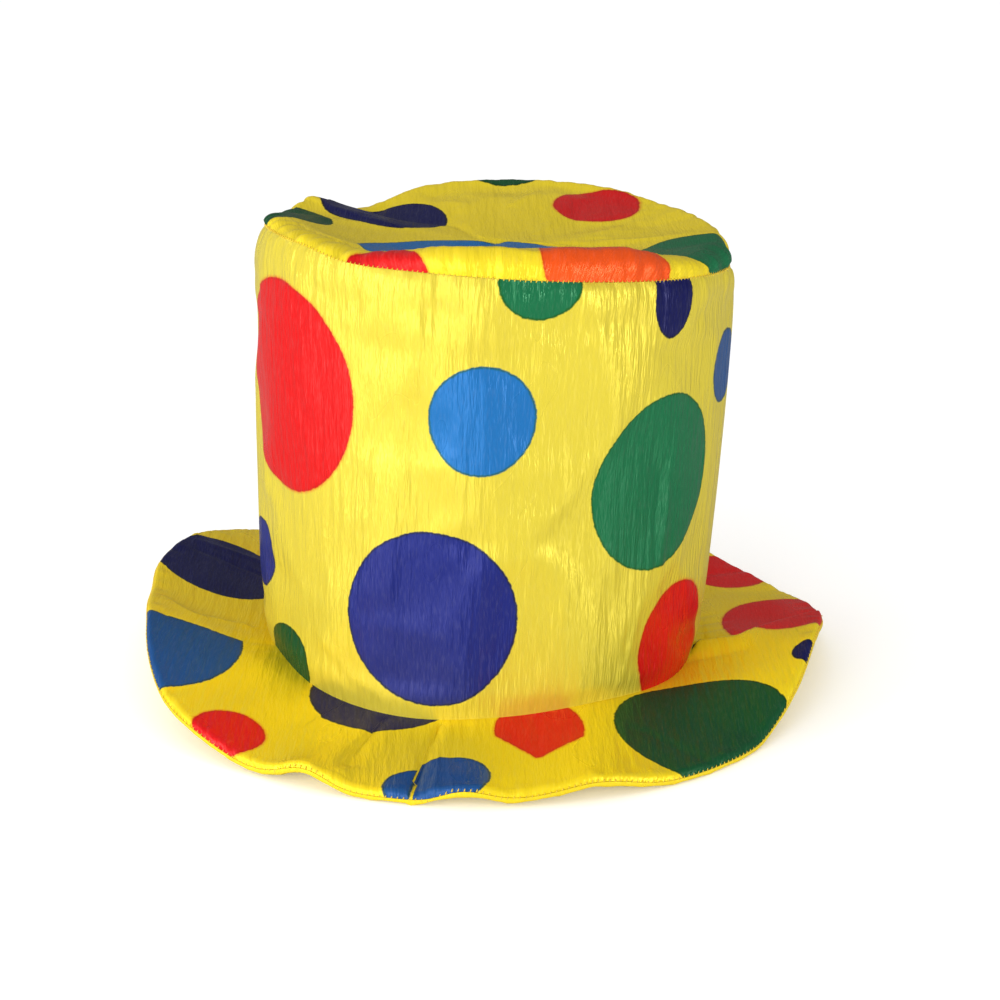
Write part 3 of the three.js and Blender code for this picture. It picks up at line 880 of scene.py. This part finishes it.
TOP_DOTS = [
    Dot("red", 141.0, 75.5, 40.5),
    Dot("navy", -131.0, 68.0, 58),
    Dot("deep green", -92, 102, 60),
    Dot("green", 72, 94, 56),
    Dot("light blue", -11, 47.5, 97),
    Dot("deep green", 177, 116, 50),
    Dot("red", -24, 121, 45),
    Dot("orange", 27.2, 105, 60),
    Dot("light blue", 105, 118, 26),
]
BRIM_DOTS = [
    Dot("navy", -106.5, 134.5, 64.0),
    Dot("blue", -67.9, 153, 73, 1.0, (((-67.0, 121), (-71.9, 163)),)),
    Dot("red", -41.5, 153.5, 29.0),
    Dot("navy", -29.0, 85.0, 64.4),
    Dot("blue", -5.0, 151.0, 37.5, 1.0, (((-9.4, 140), (-9.4, 164)),)),
    Dot("blue", -8.6, 156.0, 29.8, 1.0, (((-10.2, 164), (-10.2, 140)),)),
    Dot("red", 13.0, 113.0, 48.0, 1.30, (((10.3, 137.5), (18.5, 126.5)), ((5.2, 119.8), (10.3, 137.5)))),
    Dot("deep green", 43.0, 141.0, 79.0),
    Dot("navy", 67.2, 161.0, 14.6),
    Dot("red", 89.9, 151.0, 76.0),
    Dot("red", 124.5, 148.0, 42.0),
    Dot("navy", 75, 100, 12),
    Dot("light blue", 150, 124, 48),
    Dot("deep green", 172, 150, 30),
    Dot("orange", -170, 118, 44),
    Dot("indigo", -150, 150, 34),
    Dot("red", -138, 116, 40),
]
# the panels are one yellow satin, coloured apart to match how the lamps light them: the wall's darker yellow is
# painted shade, the top's and the brim's brighter yellows are painted light, and the wall's extra blue is a
# painted sheen that whitens its highlights
wall_satin = satin_material("wall_satin", (0.75, 0.61, 0.050), WALL_DOTS, on_wall, 2.2)
top_satin = satin_material("top_satin", (0.94, 0.72, 0.020), TOP_DOTS, on_round, 2.0)
brim_satin = satin_material("brim_satin", (0.92, 0.68, 0.010), BRIM_DOTS, on_round, 2.0)
plain_satin = satin_material("plain_satin", (0.96, 0.72, 0.020), [], on_round, 1.6)
print("printed", len(WALL_DOTS) + len(TOP_DOTS) + len(BRIM_DOTS), "dots")

# %% [markdown]
# ## Give each panel its foam
# The satin is the outside face. Solidify adds the foam on its inner side, with a plain knitted
# backing there as the second material, so the hat is hollow and looks finished from below too.

# %% The backing and the foam
backing = bpy.data.materials.new("foam_backing")
backing.use_nodes = True
tree = backing.node_tree
place = add(tree, "UVMap", uv_map="cloth").outputs["UV"]
cells = add(tree, "TexVoronoi", {"Vector": place, "Scale": 900.0}, voronoi_dimensions="2D")
tint = mix_colour(tree, cells.outputs["Distance"], (0.80, 0.72, 0.36), (0.66, 0.58, 0.27))
shader = tree.nodes["Principled BSDF"]
shader.inputs["Roughness"].default_value = 0.9
tree.links.new(tint, shader.inputs["Base Color"])
bump = add(tree, "Bump", {"Height": cells.outputs["Distance"], "Distance": 0.3 * MM, "Strength": 0.6})
tree.links.new(bump.outputs["Normal"], shader.inputs["Normal"])

FOAM = 2.7 * MM
PINCHED_FOAM = 1.2 * MM  # the ridge on the top is too sharp to hold thicker foam
PANELS = (
    (wall, wall_satin, FOAM), (top, top_satin, PINCHED_FOAM),
    (brim_spotted, brim_satin, FOAM), (brim_plain, plain_satin, FOAM),
)
for piece, satin, foam in PANELS:
    piece.data.materials.append(satin)
    piece.data.materials.append(backing)
    apply(piece, "SOLIDIFY", thickness=foam, offset=-1, use_even_offset=False, material_offset=1)
    only(piece)
    bpy.ops.object.shade_smooth_by_angle(angle=math.radians(60))
    print(piece.name, len(piece.data.polygons), "faces")

# %% [markdown]
# ## Stitches
# The top is sewn to the wall and the brim's two layers to each other with short slanting
# stitches, about two millimetres apart, that give both seams their fine jagged look. The top seam
# is sewn from the inside, so there the darker thread is painted shade for the seam's puckers. One
# stitch is modelled as a bowed bit of thread with sunk ends, and each seam's row is one mesh of copies.

# %% Model one stitch and sew both seams
THREAD = 0.24 * MM
bpy.ops.object.select_all(action="DESELECT")
bpy.ops.mesh.primitive_cylinder_add(vertices=6, radius=THREAD, depth=0.9 * MM, rotation=(0, math.pi / 2, 0))
bpy.ops.object.transform_apply(rotation=True)
stitch = bpy.context.object
for end in (1, -1):
    bpy.ops.object.mode_set(mode="EDIT")
    bpy.ops.mesh.select_mode(type="VERT")
    bpy.ops.mesh.select_all(action="DESELECT")
    bpy.ops.object.mode_set(mode="OBJECT")
    for point in stitch.data.vertices:
        point.select = point.co.x * end > 0.4 * MM
    bpy.ops.object.mode_set(mode="EDIT")
    sunk = (end * 0.35 * MM, 0, -0.9 * THREAD)
    bpy.ops.mesh.extrude_region_move(TRANSFORM_OT_translate={"value": sunk})
    bpy.ops.transform.resize(value=(1, 0.4, 0.4), center_override=(end * 0.8 * MM, 0, -0.9 * THREAD))
    bpy.ops.object.mode_set(mode="OBJECT")


def sew(name, pitch, reach, place_at, slant):
    count = round(2 * math.pi * reach / pitch)
    shape = places_of(stitch)
    faces = [tuple(face.vertices) for face in stitch.data.polygons]
    points = []
    rows = []
    for i in range(count):
        turn = signed_turn(360 * i / count)
        normal = outward(turn)
        level = Vector((0, 0, 1)).cross(normal)
        across = (Vector((0, 0, 1)) + level * slant).normalized()
        basis = np.column_stack([across, normal.cross(across), normal])
        points.append(np.array(place_at(turn)) + shape @ basis.T)
        rows += [[corner + i * len(shape) for corner in face] for face in faces]
    mesh = bpy.data.meshes.new(name)
    mesh.from_pydata(np.concatenate(points).tolist(), [], rows)
    row = bpy.data.objects.new(name, mesh)
    bpy.context.collection.objects.link(row)
    only(row)
    bpy.ops.object.shade_smooth()
    print(name, count, "stitches")
    return row


# darker yellow thread: the stitch line at the brim's edge, and painted shade for the puckers along the top seam
thread = bpy.data.materials.new("thread_and_seam_shade")
thread.use_nodes = True
thread.node_tree.nodes["Principled BSDF"].inputs["Base Color"].default_value = (0.62, 0.42, 0.02, 1)
thread.node_tree.nodes["Principled BSDF"].inputs["Roughness"].default_value = 0.6
top_stitches = sew("top_stitches", 2.1 * MM, seam_radius, lambda turn: wall_place(turn, 1.0), 0.35)
edge_row = Row(1, 0)
edge_stitches = sew(
    "edge_stitches", 2.4 * MM, brim_edge.mean(),
    lambda turn: brim_place(turn, edge_row, "brim_upper", 1), 0.35,
)
for row in (top_stitches, edge_stitches):
    row.data.materials.append(thread)
bpy.data.objects.remove(stitch)

# %% [markdown]
# ## Ride on the hat's body
# Each panel replaces its imported solid and rides on the one body of the hat. Thin foam is all
# that is behind the satin.

# %% Ride and replace
for piece, node, slot in (
    (wall, "crown_wall", "spotted_satin"),
    (top, "crown_top", "spotted_satin"),
    (brim_spotted, "brim_upper", "spotted_satin"),
    (brim_plain, "brim_under", "plain_satin"),
):
    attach(piece, "root")
    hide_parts(node)
for row in (top_stitches, edge_stitches):
    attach(row, "root")

# %% [markdown]
# ## Studio
# The photograph has a white floor with almost no shadow: a bright surround, brighter on the
# left, with two low soft lights at the left front and a narrow one at the right front. Their
# reflections are the bright bands that run down the wall.

# %% Floor, light and camera
SURROUND = 0.95
LEFT_SHARE = 0.4  # the surround is brighter on the left than on the right
FLOOR_GLOW = 0.15
SEEN_IN_SATIN = 0.25  # a real studio is dark behind its lights, so the satin mirrors little of the white
bpy.ops.object.select_all(action="DESELECT")
bpy.ops.mesh.primitive_plane_add(size=16)
floor = bpy.context.object
floor.name = "floor"
floor_paint = bpy.data.materials.new("pale_floor")
floor_paint.use_nodes = True
tree = floor_paint.node_tree
unmirrored = fade(tree, add(tree, "LightPath").outputs["Is Glossy Ray"], 0, 1, 1.0, SEEN_IN_SATIN)
glow = math_node(tree, "MULTIPLY", unmirrored, FLOOR_GLOW)
white = mix_colour(tree, unmirrored, (0, 0, 0), (0.93, 0.93, 0.93))
shader = tree.nodes["Principled BSDF"]
shader.inputs["Roughness"].default_value = 0.9
shader.inputs["Specular IOR Level"].default_value = 0.0
shader.inputs["Emission Color"].default_value = (1, 1, 1, 1)
tree.links.new(white, shader.inputs["Base Color"])
tree.links.new(glow, shader.inputs["Emission Strength"])
floor.data.materials.append(floor_paint)

world = bpy.data.worlds.new("white_surround")
world.use_nodes = True
tree = world.node_tree
unmirrored = fade(tree, add(tree, "LightPath").outputs["Is Glossy Ray"], 0, 1, 1.0, SEEN_IN_SATIN)
towards = add(tree, "TexCoord").outputs["Generated"]
sideways = add(tree, "SeparateXYZ", {0: towards}).outputs["X"]
sided = fade(tree, sideways, -1, 1, SURROUND * (1 + LEFT_SHARE), SURROUND * (1 - LEFT_SHARE))
strength = math_node(tree, "MULTIPLY", unmirrored, sided)
strength = math_node(tree, "MAXIMUM", strength, add(tree, "LightPath").outputs["Is Camera Ray"])
tree.nodes["Background"].inputs["Color"].default_value = (1, 1, 1, 1)
tree.links.new(strength, tree.nodes["Background"].inputs["Strength"])
bpy.context.scene.world = world


def soft_light(name, azimuth, elevation, distance, width, height, power):
    aim = Vector((0, 0, 0.1))
    tilt = math.radians(elevation)
    place = aim + (outward(azimuth) * math.cos(tilt) + Vector((0, 0, math.sin(tilt)))) * distance
    bpy.ops.object.light_add(type="AREA", location=place)
    light = bpy.context.object
    light.name = name
    light.rotation_euler = (aim - place).to_track_quat("-Z", "Y").to_euler()
    light.data.shape = "RECTANGLE"
    light.data.size = width
    light.data.size_y = height
    light.data.energy = power


soft_light("key_light", -59, 7.5, 0.94, 0.26, 0.42, 2.7)
soft_light("front_light", -22, 7.5, 0.96, 0.40, 0.42, 2.6)
soft_light("fill_light", 50, 7.5, 0.94, 0.08, 0.42, 2.2)

PITCH = math.radians(18.71)
ROLL = math.radians(0.39)
bpy.ops.object.camera_add(location=(0.00596, -0.8524, 0.3616))
camera = bpy.context.object
level_view = Matrix.Rotation(math.pi / 2 - PITCH, 3, "X")
camera.rotation_euler = (level_view @ Matrix.Rotation(ROLL, 3, "Z")).to_euler()
camera.data.lens = 70.65
camera.data.sensor_width = 36
bpy.context.scene.camera = camera
bpy.context.scene.view_settings.view_transform = "Standard"
